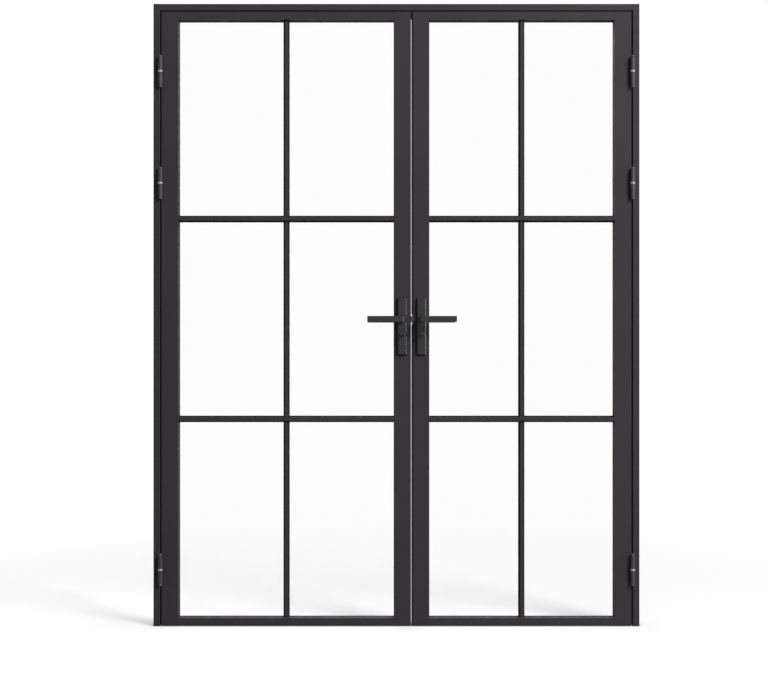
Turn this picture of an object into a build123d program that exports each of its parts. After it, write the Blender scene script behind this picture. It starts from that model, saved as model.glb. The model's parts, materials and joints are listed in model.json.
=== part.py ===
from build123d import *
import os

# Pair of glazed steel doors in a three-sided steel frame, in millimetres.
# The floor is z = 0, the frame is centred on x = 0 and the leaves lie on y = 0.
# The leaves open towards -y, the side that carries the hinge knuckles.

# Frame around the opening
frame_width = 1640.0
frame_height = 2100.0
frame_depth = 69.0
jamb_face = 22.0
head_face = 22.0
stop_width = 15.0
frame_wall = 2.0
arris_radius = 0.8
seal_room = 4.0
seal_width = 8.0
seal_rounding = 2.4
seal_clearance = 0.3

# Gaps around the leaves
hinge_gap = 5.0
head_gap = 4.0
floor_gap = 3.0
meeting_gap = 5.5

# Leaf tubes
active_leaf_width = 842.0
leaf_depth = 45.0
tube_wall = 2.0
hinge_stile_face = 57.0
active_stile_face = 57.3
passive_stile_face = 56.0
top_rail_face = 27.4
bottom_rail_face = 24.8
lip_width = 12.0
lip_depth = 13.0

# Glazing
pane_rows = 3
pane_columns = 2
glass_thickness = 6.0
glass_edge_gap = 1.5
lip_gasket_reveal = 0.8
bar_gasket_reveal = 4.2
cross_bar_nose = 13.0
upright_nose = 11.5
bar_web = 4.0
cross_bar_set_back = 1.0
upright_set_back = 7.0
bar_arris = 1.0
bead_chamfer = 2.0

# Hinges
hinge_from_top = 202.7
second_hinge_from_top = 579.4
hinge_from_bottom = 189.0
knuckle_radius = 7.25
knuckle_length = 44.0
knuckle_rounding = 1.0
knuckle_offset = 8.5
finial_neck_radius = 4.2
finial_neck_length = 1.5
finial_radius = 5.6
finial_length = 5.0
finial_rounding = 2.2
finial_seat_rounding = 0.8
ring_radius = 8.0
ring_height = 6.0
ring_rounding = 1.2
pin_radius = 4.0
pin_depth = 30.0
pin_clearance = 0.05
hinge_plate = 1.8
hinge_plate_reach = 32.0
hinge_plate_set_back = 0.6

# Handle sets
lever_height = 1036.0
turn_below_lever = 50.0
handle_backset = 30.0
plate_width = 30.0
plate_above_lever = 71.0
plate_below_turn = 69.0
plate_thickness = 10.0
plate_bevel = 2.2
plate_skin = 2.5
boss_wall = 4.0
lever_reach = 117.0
lever_tall = 20.0
lever_thickness = 9.0
lever_projection = 52.0
neck_width = 13.0
elbow_radius = 6.0
inner_elbow_radius = 5.0
lever_edge = 1.0
shank_radius = 8.0
collar_radius = 9.8
collar_thickness = 2.6
running_clearance = 0.06
face_clearance = 0.3
spindle_side = 8.0
spindle_play = 0.2
spindle_length = 104.0
turn_bar_side = 5.0
turn_rose_radius = 8.5
turn_rose_thickness = 3.0
turn_grip_width = 20.0
turn_grip_tall = 10.0
turn_grip_projection = 15.0
turn_grip_rounding = 2.5
release_thickness = 3.5
release_slot_width = 2.0
release_slot_length = 11.0
release_slot_depth = 1.4
wall_hole_play = 2.0

# Locks and bolts
lock_case_thickness = 16.0
lock_case_depth = 36.0
lock_case_wall = 1.5
lock_above_lever = 42.0
lock_below_turn = 34.0
forend_width = 20.0
forend_overlap = 18.0
bolt_thickness = 12.0
bolt_play = 0.3
latch_tall = 22.0
latch_length = 22.0
latch_throw = 11.0
latch_nose = 3.0
dead_bolt_tall = 24.0
dead_bolt_length = 22.0
dead_bolt_set_back = 0.5
dead_bolt_chamfer = 0.8
strike_thickness = 1.5
strike_overlap = 14.0
strike_play = 0.8
passive_case_set_back = 12.0
passive_case_above_lever = 44.0
passive_case_below_turn = 30.0
rod_from_edge = 22.0
rod_radius = 4.0
rod_above_lever = 24.0
top_bolt_radius = 6.0
top_bolt_length = 60.0
top_bolt_throw = 10.0
top_bolt_play = 0.1
top_bolt_chamfer = 1.5
keeper_play = 1.0
keeper_length = 60.0
keeper_width = 24.0
keeper_thickness = 1.5
keeper_rounding = 6.0
meeting_seal_thickness = 3.5
meeting_seal_width = 8.0
meeting_seal_set_back = 2.0
meeting_seal_notch = 34.0

# Fixings to the wall
fixing_low = 350.0
fixing_high = 1700.0
head_fixing_spread = 1000.0
fixing_radius = 4.25
access_radius = 7.0
fixing_set_back = 22.0

# Cuts run this far past the faces that they open
overrun = 1.0

# Places worked out from the sizes above
front = -leaf_depth / 2
back = leaf_depth / 2
frame_back = front + frame_depth
stop_front = back + seal_room
lip_back = front + lip_depth
bead_front = -lip_back
leaf_edge = frame_width / 2 - jamb_face - hinge_gap
leaf_top = frame_height - head_face - head_gap
leaf_bottom = floor_gap
passive_leaf_width = 2 * leaf_edge - active_leaf_width - meeting_gap
turn_height = lever_height - turn_below_lever
plate_top = lever_height + plate_above_lever
plate_bottom = turn_height - plate_below_turn
plate_front = front - plate_thickness
hinge_heights = {
    "top": leaf_top - hinge_from_top,
    "middle": leaf_top - second_hinge_from_top,
    "bottom": leaf_bottom + hinge_from_bottom,
}
axis_x = -hinge_gap / 2
axis_y = front - knuckle_offset
leaf_widths = {"left": active_leaf_width, "right": passive_leaf_width}
meeting_faces = {"left": active_stile_face, "right": passive_stile_face}


# Shared makers. Each leaf is drawn from its hinge edge, x = 0, and then set in its half of the frame.
def place(shape, side):
    """Set a piece drawn from a leaf's hinge edge in the left or the right half of the frame."""
    if side == "left":
        return Pos(-leaf_edge, 0, 0) * shape
    return Pos(leaf_edge, 0, 0) * mirror(shape, about=Plane.YZ)


def save(node, *solids):
    """Write one node, which is a single solid or a group of like solids."""
    shape = solids[0] if len(solids) == 1 else Compound(children=list(solids))
    export_step(shape, f"parts/{node}.step")


def block(x_span, y_span, z_span):
    """A rectangular bar between two limits along each axis."""
    low = (min(x_span), min(y_span), min(z_span))
    size = [abs(span[1] - span[0]) for span in (x_span, y_span, z_span)]
    return Pos(*low) * Box(*size, align=(Align.MIN, Align.MIN, Align.MIN))


def eased(points, rounding):
    """The face inside an outline, with its outward corners rounded and its inward ones sharp."""
    section = Polygon(*points, align=None)
    following = points[1:] + points[:1]
    before = points[-1:] + points[:-1]
    area = sum(a[0] * b[1] - b[0] * a[1] for a, b in zip(points, following))
    outward = []
    for last, here, then in zip(before, points, following):
        turn = (here[0] - last[0]) * (then[1] - here[1]) - (here[1] - last[1]) * (then[0] - here[0])
        if turn * area > 0:
            outward.append(section.vertices().sort_by_distance(here)[0])
    return fillet(outward, rounding)


def upright(points, z_span, rounding=0.0):
    """A section drawn in x and y, run along z, with its outward corners eased by the rounding."""
    section = eased(points, rounding) if rounding else Polygon(*points, align=None)
    length = z_span[1] - z_span[0]
    return extrude(Plane.XY.offset(z_span[0]) * section, amount=length, dir=(0, 0, 1))


def lengthwise(points, x_span, rounding=0.0):
    """A section drawn in y and z, run along x, with its outward corners eased by the rounding."""
    section = eased(points, rounding) if rounding else Polygon(*points, align=None)
    length = x_span[1] - x_span[0]
    return extrude(Plane.YZ.offset(x_span[0]) * section, amount=length, dir=(1, 0, 0))


def cross_hole(x, z, radius, y_span):
    """A round bar along y, for holes through a leaf's faces."""
    length = abs(y_span[1] - y_span[0])
    middle = (y_span[0] + y_span[1]) / 2
    return Pos(x, middle, z) * Rot(90, 0, 0) * Cylinder(radius, length)


def stepped(wide, narrow, near, step, far, inset=0.0):
    """An L section: wide from near to step, narrow from there to far, with walls inset."""
    inward = inset if step > near else -inset
    return [
        (inset, near + inward),
        (wide - inset, near + inward),
        (wide - inset, step - inward),
        (narrow - inset, step - inward),
        (narrow - inset, far - inward),
        (inset, far - inward),
    ]


def flipped(points, start):
    """The section seen from its other edge, measured back from start."""
    return [(start - across, depth) for across, depth in points]


def turned(points, start, direction):
    """A section's points as y and z, with its width running up or down from start."""
    return [(depth, start + direction * across) for across, depth in points]


# Frame members
def jamb():
    """Left jamb: a rebated tube with closed ends, holes to the wall and access holes inside."""
    outer_edge = -frame_width / 2
    inner_edge = outer_edge + jamb_face
    wide = jamb_face + stop_width
    outline = stepped(wide, jamb_face, frame_back, stop_front, front)
    hollow = stepped(wide, jamb_face, frame_back, stop_front, front, frame_wall)
    head_bottom = frame_height - head_face
    member = Pos(outer_edge, 0, 0) * upright(outline, (0, frame_height), arris_radius)
    member -= Pos(outer_edge, 0, 0) * upright(hollow, (frame_wall, head_bottom - frame_wall))
    member -= block(
        (inner_edge, inner_edge + stop_width + overrun),
        (front - overrun, frame_back + overrun),
        (head_bottom, frame_height + overrun),
    )
    for height in (fixing_low, fixing_high):
        at = Pos(outer_edge, front + fixing_set_back, height) * Rot(0, 90, 0)
        member -= at * Cylinder(fixing_radius, 2 * (frame_wall + overrun))
        at = Pos(inner_edge, front + fixing_set_back, height) * Rot(0, 90, 0)
        member -= at * Cylinder(access_radius, 2 * (frame_wall + overrun))
    return member


def head():
    """Head: the same rebated tube laid across the top, coped round the jambs' stops."""
    half_span = frame_width / 2 - jamb_face
    half_stop = half_span - stop_width
    head_bottom = frame_height - head_face
    deep = head_face + stop_width
    outline = turned(stepped(deep, head_face, frame_back, stop_front, front), frame_height, -1)
    hollow = stepped(deep, head_face, frame_back, stop_front, front, frame_wall)
    member = lengthwise(outline, (-half_span, half_span), arris_radius)
    hollow_half = half_stop - frame_wall
    member -= lengthwise(turned(hollow, frame_height, -1), (-hollow_half, hollow_half))
    for side in (-1, 1):
        member -= block(
            (side * half_stop, side * (half_span + overrun)),
            (front - overrun, frame_back + overrun),
            (head_bottom - stop_width - overrun, head_bottom),
        )
        x = side * head_fixing_spread / 2
        top = Pos(x, front + fixing_set_back, frame_height)
        member -= top * Cylinder(fixing_radius, 2 * (frame_wall + overrun))
        under = Pos(x, front + fixing_set_back, head_bottom)
        member -= under * Cylinder(access_radius, 2 * (frame_wall + overrun))
    bolt_x = leaf_edge - passive_leaf_width + rod_from_edge
    slot = Pos(bolt_x, 0, head_bottom)
    member -= slot * Cylinder(top_bolt_radius + keeper_play, 2 * (frame_wall + overrun))
    return member


def bolt_keeper():
    """Plate under the head that takes the passive leaf's top bolt."""
    head_bottom = frame_height - head_face
    bolt_x = leaf_edge - passive_leaf_width + rod_from_edge
    plate = Box(keeper_length, keeper_width, keeper_thickness)
    plate = fillet(plate.edges().filter_by(Axis.Z), keeper_rounding)
    plate -= Cylinder(top_bolt_radius + keeper_play, keeper_thickness + overrun)
    return Pos(bolt_x, 0, head_bottom - keeper_thickness / 2) * plate


def rebate_seal():
    """One rubber strip up both jambs and across the head, on the faces of the stops."""
    half_middle = leaf_edge - (stop_width - hinge_gap) / 2
    top_middle = leaf_top - (stop_width - head_gap) / 2
    half_strip = seal_width / 2
    thickness = seal_room - seal_clearance
    y_span = (stop_front - thickness, stop_front)
    outer = half_middle + half_strip
    inner = half_middle - half_strip
    strip = block((-outer, outer), y_span, (0, top_middle + half_strip))
    strip -= block((-inner, inner), y_span, (0, top_middle - half_strip))
    nose = strip.faces().sort_by(Axis.Y)[0]
    edges = nose.edges().filter_by(lambda edge: edge.center().Z > 0)
    return fillet(edges, seal_rounding)


# Hinges
def knuckle(low, direction):
    """A turned knuckle with a necked button finial at its outer end; direction is where that end points."""
    barrel = Cylinder(knuckle_radius, knuckle_length, align=(Align.CENTER, Align.CENTER, Align.MIN))
    barrel = fillet(barrel.edges().filter_by(GeomType.CIRCLE).sort_by(Axis.Z)[-1], knuckle_rounding)
    neck = Cylinder(finial_neck_radius, finial_neck_length, align=(Align.CENTER, Align.CENTER, Align.MIN))
    finial = Cylinder(finial_radius, finial_length, align=(Align.CENTER, Align.CENTER, Align.MIN))
    finial = fillet(finial.edges().filter_by(GeomType.CIRCLE).sort_by(Axis.Z)[-1], finial_rounding)
    finial = fillet(finial.edges().filter_by(GeomType.CIRCLE).sort_by(Axis.Z)[0], finial_seat_rounding)
    body = barrel + Pos(0, 0, knuckle_length) * neck
    body += Pos(0, 0, knuckle_length + finial_neck_length) * finial
    if direction < 0:
        body = mirror(body, about=Plane.XY)
    return Pos(axis_x, axis_y, low) * body


def hinge_half(middle, part):
    """One half of a lift-off hinge: the jamb half holds the pin below, the leaf half turns on it above."""
    direction = 1 if part == "leaf" else -1
    inner_end = middle + direction * ring_height / 2
    reach = inner_end + direction * knuckle_length
    if part == "leaf":
        x_span = (-hinge_plate, 0)
    else:
        x_span = (-hinge_gap, -hinge_gap + hinge_plate)
    plate_half = ring_height / 2 + knuckle_length
    flap_front = front + hinge_plate_set_back
    flap_depth = (flap_front, front + hinge_plate_reach)
    half = block(x_span, flap_depth, (middle - plate_half, middle + plate_half))
    half += block(x_span, (axis_y, flap_front), (inner_end, reach))
    half += knuckle(inner_end, direction)
    bore = Cylinder(pin_radius + pin_clearance, 2 * (pin_depth + pin_clearance))
    return half - Pos(axis_x, axis_y, inner_end) * bore


def hinge_pin(middle):
    """Pin that stands in the jamb half and reaches up into the leaf half."""
    return Pos(axis_x, axis_y, middle) * Cylinder(pin_radius, 2 * pin_depth + ring_height)


def bearing_ring(middle):
    """Ring on the pin between the two knuckles."""
    ring = Cylinder(ring_radius, ring_height)
    ring = fillet(ring.edges().filter_by(GeomType.CIRCLE), ring_rounding)
    ring -= Cylinder(pin_radius + pin_clearance, ring_height + overrun)
    return Pos(axis_x, axis_y, middle) * ring


# Leaf tubes
def handle_x(side):
    """Distance of the lever's axis from the hinge edge."""
    return leaf_widths[side] - handle_backset


def hinge_stile():
    """Tube on the hinge side, with the glazing lip at its front."""
    tube = hinge_stile_face - lip_width
    outline = stepped(hinge_stile_face, tube, front, lip_back, back)
    member = upright(outline, (leaf_bottom, leaf_top), arris_radius)
    hollow = stepped(hinge_stile_face, tube, front, lip_back, back, tube_wall)
    return member - upright(hollow, (leaf_bottom + tube_wall, leaf_top - tube_wall))


def meeting_stile(side):
    """Tube on the meeting side, with holes for the handle set and the cut-outs for its bolts."""
    width = leaf_widths[side]
    face = meeting_faces[side]
    outline = flipped(stepped(face, face - lip_width, front, lip_back, back), width)
    hollow = flipped(stepped(face, face - lip_width, front, lip_back, back, tube_wall), width)
    member = upright(outline, (leaf_bottom, leaf_top), arris_radius)
    member -= upright(hollow, (leaf_bottom + tube_wall, leaf_top - tube_wall))
    through = (front - overrun, back + overrun)
    member -= cross_hole(handle_x(side), lever_height, shank_radius + wall_hole_play, through)
    member -= cross_hole(handle_x(side), turn_height, turn_bar_side / 2 + wall_hole_play, through)
    if side == "left":
        half = forend_width / 2
        member -= block((width - tube_wall, width + overrun), (-half, half), forend_span())
    else:
        for tall, height in ((latch_tall, lever_height), (dead_bolt_tall, turn_height)):
            half = bolt_thickness / 2 + strike_play
            rise = tall / 2 + strike_play
            wall = (width - tube_wall - overrun, width + overrun)
            member -= block(wall, (-half, half), (height - rise, height + rise))
        cap_hole = Cylinder(top_bolt_radius + top_bolt_play, 2 * (tube_wall + overrun))
        member -= Pos(width - rod_from_edge, 0, leaf_top) * cap_hole
    return member


def between_stiles(side, points, hollow=None):
    """A member that runs between the stile tubes, notched round the stiles' lips."""
    start = hinge_stile_face - lip_width
    end = leaf_widths[side] - meeting_faces[side] + lip_width
    member = lengthwise(points, (start, end), arris_radius)
    if hollow:
        member -= lengthwise(hollow, (start + lip_width + tube_wall, end - lip_width - tube_wall))
    low = min(z for _, z in points) - overrun
    high = max(z for _, z in points) + overrun
    for x_span in ((start - overrun, start + lip_width), (end - lip_width, end + overrun)):
        member -= block(x_span, (front - overrun, lip_back), (low, high))
    return member


def rail(side, end):
    """Top or bottom rail, a low tube with the glazing lip at its front."""
    face, start, direction = {
        "top": (top_rail_face, leaf_top, -1),
        "bottom": (bottom_rail_face, leaf_bottom, 1),
    }[end]
    outline = stepped(face, face - lip_width, front, lip_back, back)
    hollow = stepped(face, face - lip_width, front, lip_back, back, tube_wall)
    return between_stiles(side, turned(outline, start, direction), turned(hollow, start, direction))


# Glazing bars, panes, gaskets and beads
def openings(low, high, count, nose):
    """Clear openings of a row of panes, each with its rebate and its gasket's sight lines."""
    clear = (high - low - (count - 1) * nose) / count
    behind_bar = (nose - bar_web) / 2
    spans = []
    for index in range(count):
        start = low + index * (clear + nose)
        end = start + clear
        by_first_lip = index == 0
        by_last_lip = index == count - 1
        rebate_start = start - (lip_width if by_first_lip else behind_bar)
        rebate_end = end + (lip_width if by_last_lip else behind_bar)
        sight_start = start + (lip_gasket_reveal if by_first_lip else bar_gasket_reveal)
        sight_end = end - (lip_gasket_reveal if by_last_lip else bar_gasket_reveal)
        spans.append(((start, end), (rebate_start, rebate_end), (sight_start, sight_end)))
    return spans


def column_spans(side):
    """Openings across a leaf."""
    far_lip = leaf_widths[side] - meeting_faces[side]
    return openings(hinge_stile_face, far_lip, pane_columns, upright_nose)


def row_spans():
    """Openings up a leaf."""
    low_lip = leaf_bottom + bottom_rail_face
    return openings(low_lip, leaf_top - top_rail_face, pane_rows, cross_bar_nose)


def tee(nose, nose_front):
    """A T section: nose in front of the glass, web between the panes."""
    half_nose = nose / 2
    half_web = bar_web / 2
    return [
        (-half_nose, nose_front),
        (half_nose, nose_front),
        (half_nose, lip_back),
        (half_web, lip_back),
        (half_web, back),
        (-half_web, back),
        (-half_web, lip_back),
        (-half_nose, lip_back),
    ]


def cross_bar(side, row):
    """Bar across the whole leaf, above the given row of panes."""
    middle = row_spans()[row][0][1] + cross_bar_nose / 2
    section = tee(cross_bar_nose, front + cross_bar_set_back)
    return between_stiles(side, turned(section, middle, 1))


def upright_bar(side, row):
    """Bar between the two panes of a row; its nose stops at the lips, its web runs behind them."""
    (clear_low, clear_high), rebate, _ = row_spans()[row]
    middle = column_spans(side)[0][0][1] + upright_nose / 2
    section = tee(upright_nose, front + upright_set_back)
    points = [(middle + across, depth) for across, depth in section]
    bar = upright(points, rebate, bar_arris)
    x_span = (middle - upright_nose, middle + upright_nose)
    for z_span in ((rebate[0] - overrun, clear_low), (clear_high, rebate[1] + overrun)):
        bar -= block(x_span, (front, lip_back), z_span)
    return bar


def each_pane(side):
    """The openings across and up for every pane of a leaf."""
    return [(column, row) for row in row_spans() for column in column_spans(side)]


def shrunk(span, amount):
    """A span drawn in at both ends."""
    return (span[0] + amount, span[1] - amount)


def pane(column, row):
    """One sheet of glass."""
    half = glass_thickness / 2
    return block(shrunk(column[1], glass_edge_gap), (-half, half), shrunk(row[1], glass_edge_gap))


def gasket(column, row, y_span):
    """A rubber frame on one face of a pane, which shows as a thin line past the steel."""
    outer = block(shrunk(column[1], glass_edge_gap), y_span, shrunk(row[1], glass_edge_gap))
    return outer - block(column[2], y_span, row[2])


def bead_section(clear, rebate):
    """A glazing bead from the rebate's side to the clear opening, bevelled towards the opening."""
    inward = bead_chamfer if rebate > clear else -bead_chamfer
    return [
        (rebate, bead_front),
        (clear, bead_front),
        (clear, back - bead_chamfer),
        (clear + inward, back),
        (rebate, back),
    ]


def beads(column, row):
    """Four beads behind a pane: the level ones run through, the upright ones stand between them."""
    pieces = []
    for clear, rebate in zip(row[0], row[1]):
        section = [(depth, across) for across, depth in bead_section(clear, rebate)]
        pieces.append(lengthwise(section, column[1]))
    for clear, rebate in zip(column[0], column[1]):
        pieces.append(upright(bead_section(clear, rebate), row[0]))
    return pieces


# Handle sets
def back_plate(side):
    """Front handle plate: a bevelled cover, hollow behind, with a boss round each hole."""
    x = handle_x(side)
    half = plate_width / 2
    cover = block((x - half, x + half), (plate_front, front), (plate_bottom, plate_top))
    cover = chamfer(cover.faces().sort_by(Axis.Y)[0].edges(), plate_bevel)
    rim = shrunk((x - half, x + half), plate_skin)
    pocket_y = (plate_front + plate_skin, front + overrun)
    cover -= block(rim, pocket_y, shrunk((plate_bottom, plate_top), plate_skin))
    through = (plate_front - overrun, front + overrun)
    lever_hole = shank_radius + running_clearance
    turn_hole = turn_bar_side / 2 + wall_hole_play
    for height, hole in ((lever_height, lever_hole), (turn_height, turn_hole)):
        cover += cross_hole(x, height, hole + boss_wall, (plate_front + plate_skin, front))
        cover -= cross_hole(x, height, hole, through)
    return cover


def lever(side):
    """Front lever: a flat bar turned through a rounded elbow into its neck, with collar and shank."""
    x = handle_x(side)
    tip = x - lever_reach
    half_neck = neck_width / 2
    arm_front = front - lever_projection
    arm_back = arm_front + lever_thickness
    collar_front = plate_front - face_clearance - collar_thickness
    plan = Polygon(
        (tip, arm_front),
        (x + half_neck, arm_front),
        (x + half_neck, collar_front),
        (x - half_neck, collar_front),
        (x - half_neck, arm_back),
        (tip, arm_back),
        align=None,
    )
    elbow = plan.vertices().sort_by_distance((x + half_neck, arm_front))[0]
    plan = fillet(elbow, elbow_radius)
    crook = plan.vertices().sort_by_distance((x - half_neck, arm_back))[0]
    plan = fillet(crook, inner_elbow_radius)
    half_tall = lever_tall / 2
    low = Plane.XY.offset(lever_height - half_tall)
    handle = extrude(low * plan, amount=lever_tall, dir=(0, 0, 1))
    rims = handle.faces().filter_by(Axis.Z).edges()
    rims = rims.filter_by(lambda edge: edge.center().Y < collar_front - lever_edge)
    handle = chamfer(rims, lever_edge)
    handle += cross_hole(x, lever_height, collar_radius, (collar_front, plate_front - face_clearance))
    handle += cross_hole(x, lever_height, shank_radius, (plate_front - face_clearance, front))
    half_hole = (spindle_side + spindle_play) / 2
    hole_end = spindle_length / 2 + spindle_play
    z_span = (lever_height - half_hole, lever_height + half_hole)
    return handle - block((x - half_hole, x + half_hole), (-hole_end, front + overrun), z_span)


def spindle(side):
    """Square bar that joins the two levers through the lock."""
    x = handle_x(side)
    half = spindle_side / 2
    half_length = spindle_length / 2
    z_span = (lever_height - half, lever_height + half)
    return block((x - half, x + half), (-half_length, half_length), z_span)


def thumbturn(side):
    """Thumb turn on the front plate, with the square bar that works the bolt."""
    x = handle_x(side)
    rose_front = plate_front - face_clearance - turn_rose_thickness
    grip_front = rose_front - turn_grip_projection
    grip = extrude(SlotOverall(turn_grip_width, turn_grip_tall), amount=turn_grip_projection)
    grip = fillet(grip.faces().sort_by(Axis.Z)[-1].edges(), turn_grip_rounding)
    turn = Pos(x, rose_front, turn_height) * Rot(90, 0, 0) * grip
    turn += cross_hole(x, turn_height, turn_rose_radius, (rose_front, plate_front - face_clearance))
    half = turn_bar_side / 2
    bar_end = -plate_front + face_clearance + release_thickness / 2
    z_span = (turn_height - half, turn_height + half)
    return turn + block((x - half, x + half), (rose_front, bar_end), z_span)


def release(side):
    """Coin-slotted disc on the back plate, on the far end of the turn's bar."""
    x = handle_x(side)
    near = -plate_front + face_clearance
    far = near + release_thickness
    disc = cross_hole(x, turn_height, turn_rose_radius, (near, far))
    half_slot = release_slot_width / 2
    half_length = release_slot_length / 2
    slot_x = (x - half_length, x + half_length)
    slot_z = (turn_height - half_slot, turn_height + half_slot)
    disc -= block(slot_x, (far - release_slot_depth, far + overrun), slot_z)
    half = (turn_bar_side + spindle_play) / 2
    z_span = (turn_height - half, turn_height + half)
    hole_end = near + release_thickness / 2 + spindle_play
    return disc - block((x - half, x + half), (near - overrun, hole_end), z_span)


# Locks and bolts
def case_span():
    """Lowest and highest point of the active leaf's lock case."""
    return (turn_height - lock_below_turn, lever_height + lock_above_lever)


def forend_span():
    """Lowest and highest point of the lock's forend plate."""
    low, high = case_span()
    return (low - forend_overlap, high + forend_overlap)


def spindle_holes(side):
    """Holes through a lock case for the spindle and the turn's bar."""
    x = handle_x(side)
    y_span = (-lock_case_thickness, lock_case_thickness)
    lever_hole = cross_hole(x, lever_height, spindle_side / 2 + wall_hole_play, y_span)
    return lever_hole + cross_hole(x, turn_height, turn_bar_side / 2 + wall_hole_play, y_span)


def active_lock_case():
    """Lock of the active leaf: a sheet case behind a forend set flush in the stile's edge."""
    width = active_leaf_width
    half = lock_case_thickness / 2
    front_of_case = width - tube_wall
    x_span = (front_of_case - lock_case_depth, front_of_case)
    case = block(x_span, (-half, half), case_span())
    inside = shrunk((-half, half), lock_case_wall)
    case -= block(shrunk(x_span, lock_case_wall), inside, shrunk(case_span(), lock_case_wall))
    half_forend = forend_width / 2
    case += block((front_of_case, width), (-half_forend, half_forend), forend_span())
    case -= spindle_holes("left")
    mouth = (front_of_case - lock_case_wall - overrun, width + overrun)
    half_bolt = bolt_thickness / 2 + bolt_play
    for tall, height in ((latch_tall, lever_height), (dead_bolt_tall, turn_height)):
        rise = tall / 2 + bolt_play
        case -= block(mouth, (-half_bolt, half_bolt), (height - rise, height + rise))
    return case


def latch_bolt():
    """Sprung latch, thrown through the gap, with its slope on the closing side."""
    tip = active_leaf_width + latch_throw
    tail = tip - latch_length
    half = bolt_thickness / 2
    shoulder = active_leaf_width
    points = [(tail, -half), (tip, -half), (tip, latch_nose - half), (shoulder, half), (tail, half)]
    rise = latch_tall / 2
    return upright(points, (lever_height - rise, lever_height + rise))


def dead_bolt():
    """Square dead bolt, withdrawn behind the forend."""
    nose = active_leaf_width - dead_bolt_set_back
    half = bolt_thickness / 2
    rise = dead_bolt_tall / 2
    bolt = block((nose - dead_bolt_length, nose), (-half, half), (turn_height - rise, turn_height + rise))
    return chamfer(bolt.faces().sort_by(Axis.X)[-1].edges(), dead_bolt_chamfer)


def strike_plate():
    """Plate on the passive leaf's edge with a hole for each bolt of the lock."""
    width = passive_leaf_width
    half = forend_width / 2
    low = turn_height - dead_bolt_tall / 2 - strike_overlap
    high = lever_height + latch_tall / 2 + strike_overlap
    plate = block((width, width + strike_thickness), (-half, half), (low, high))
    half_hole = bolt_thickness / 2 + strike_play
    for tall, height in ((latch_tall, lever_height), (dead_bolt_tall, turn_height)):
        rise = tall / 2 + strike_play
        hole_x = (width - overrun, width + strike_thickness + overrun)
        plate -= block(hole_x, (-half_hole, half_hole), (height - rise, height + rise))
    return plate


def passive_lock_case():
    """Case of the passive leaf's top bolt, fixed to the inner wall of its stile."""
    width = passive_leaf_width
    half = lock_case_thickness / 2
    tube = passive_stile_face - lip_width
    x_span = (width - tube + tube_wall, width - passive_case_set_back)
    z_span = (turn_height - passive_case_below_turn, lever_height + passive_case_above_lever)
    case = block(x_span, (-half, half), z_span)
    inside = shrunk((-half, half), lock_case_wall)
    case -= block(shrunk(x_span, lock_case_wall), inside, shrunk(z_span, lock_case_wall))
    rod_hole = Cylinder(rod_radius + running_clearance, 2 * (lock_case_wall + overrun))
    case -= Pos(width - rod_from_edge, 0, z_span[1]) * rod_hole
    return case - spindle_holes("right")


def top_bolt():
    """Rod inside the passive stile with the bolt that enters the head."""
    x = passive_leaf_width - rod_from_edge
    tip = frame_height - head_face + top_bolt_throw
    shoulder = tip - top_bolt_length
    low = lever_height + rod_above_lever
    base = (Align.CENTER, Align.CENTER, Align.MIN)
    rod = Pos(x, 0, low) * Cylinder(rod_radius, shoulder - low, align=base)
    bolt = Cylinder(top_bolt_radius, top_bolt_length, align=base)
    bolt = chamfer(bolt.edges().filter_by(GeomType.CIRCLE).sort_by(Axis.Z)[-1], top_bolt_chamfer)
    return rod + Pos(x, 0, shoulder) * bolt


def meeting_seal():
    """Rubber strip on the passive leaf's edge, in two lengths that stop clear of the latch."""
    width = passive_leaf_width
    x_span = (width, width + meeting_seal_thickness)
    near = front + meeting_seal_set_back
    y_span = (near, near + meeting_seal_width)
    notch = meeting_seal_notch / 2
    lengths = ((leaf_bottom, lever_height - notch), (lever_height + notch, leaf_top))
    return [block(x_span, y_span, z_span) for z_span in lengths]


# Write every node
def write_frame():
    """Jambs, head, keeper and rebate seal."""
    left = jamb()
    save("left_jamb", left)
    save("right_jamb", mirror(left, about=Plane.YZ))
    save("frame_head", head())
    save("bolt_keeper", bolt_keeper())
    save("rebate_seal", rebate_seal())


def write_hinges():
    """Three lift-off hinges on each leaf, with their pins and bearing rings."""
    pins = []
    rings = []
    for side in leaf_widths:
        for name, middle in hinge_heights.items():
            save(f"{side}_{name}_hinge_jamb_half", place(hinge_half(middle, "jamb"), side))
            save(f"{side}_{name}_hinge_leaf_half", place(hinge_half(middle, "leaf"), side))
            pins.append(place(hinge_pin(middle), side))
            rings.append(place(bearing_ring(middle), side))
    save("hinge_pins", *pins)
    save("bearing_rings", *rings)


def write_leaf(side):
    """Tubes, bars and glazing of one leaf."""
    save(f"{side}_hinge_stile", place(hinge_stile(), side))
    save(f"{side}_meeting_stile", place(meeting_stile(side), side))
    save(f"{side}_top_rail", place(rail(side, "top"), side))
    save(f"{side}_bottom_rail", place(rail(side, "bottom"), side))
    save(f"{side}_lower_bar", place(cross_bar(side, 0), side))
    save(f"{side}_upper_bar", place(cross_bar(side, 1), side))
    save(f"{side}_upright_bars", *[place(upright_bar(side, row), side) for row in range(pane_rows)])
    panes = each_pane(side)
    half = glass_thickness / 2
    save(f"{side}_glass", *[place(pane(*spans), side) for spans in panes])
    faces = ((lip_back, -half), (half, bead_front))
    save(f"{side}_gaskets", *[place(gasket(*spans, face), side) for spans in panes for face in faces])
    save(f"{side}_beads", *[place(bead, side) for spans in panes for bead in beads(*spans)])


def write_handle_set(side):
    """Plates, levers, spindle and turn of one leaf; the back pieces mirror the front ones."""
    for name, piece in (("plate", back_plate(side)), ("lever", lever(side))):
        save(f"{side}_front_{name}", place(piece, side))
        save(f"{side}_back_{name}", place(mirror(piece, about=Plane.XZ), side))
    save(f"{side}_spindle", place(spindle(side), side))
    save(f"{side}_thumbturn", place(thumbturn(side), side))
    save(f"{side}_release", place(release(side), side))


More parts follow.
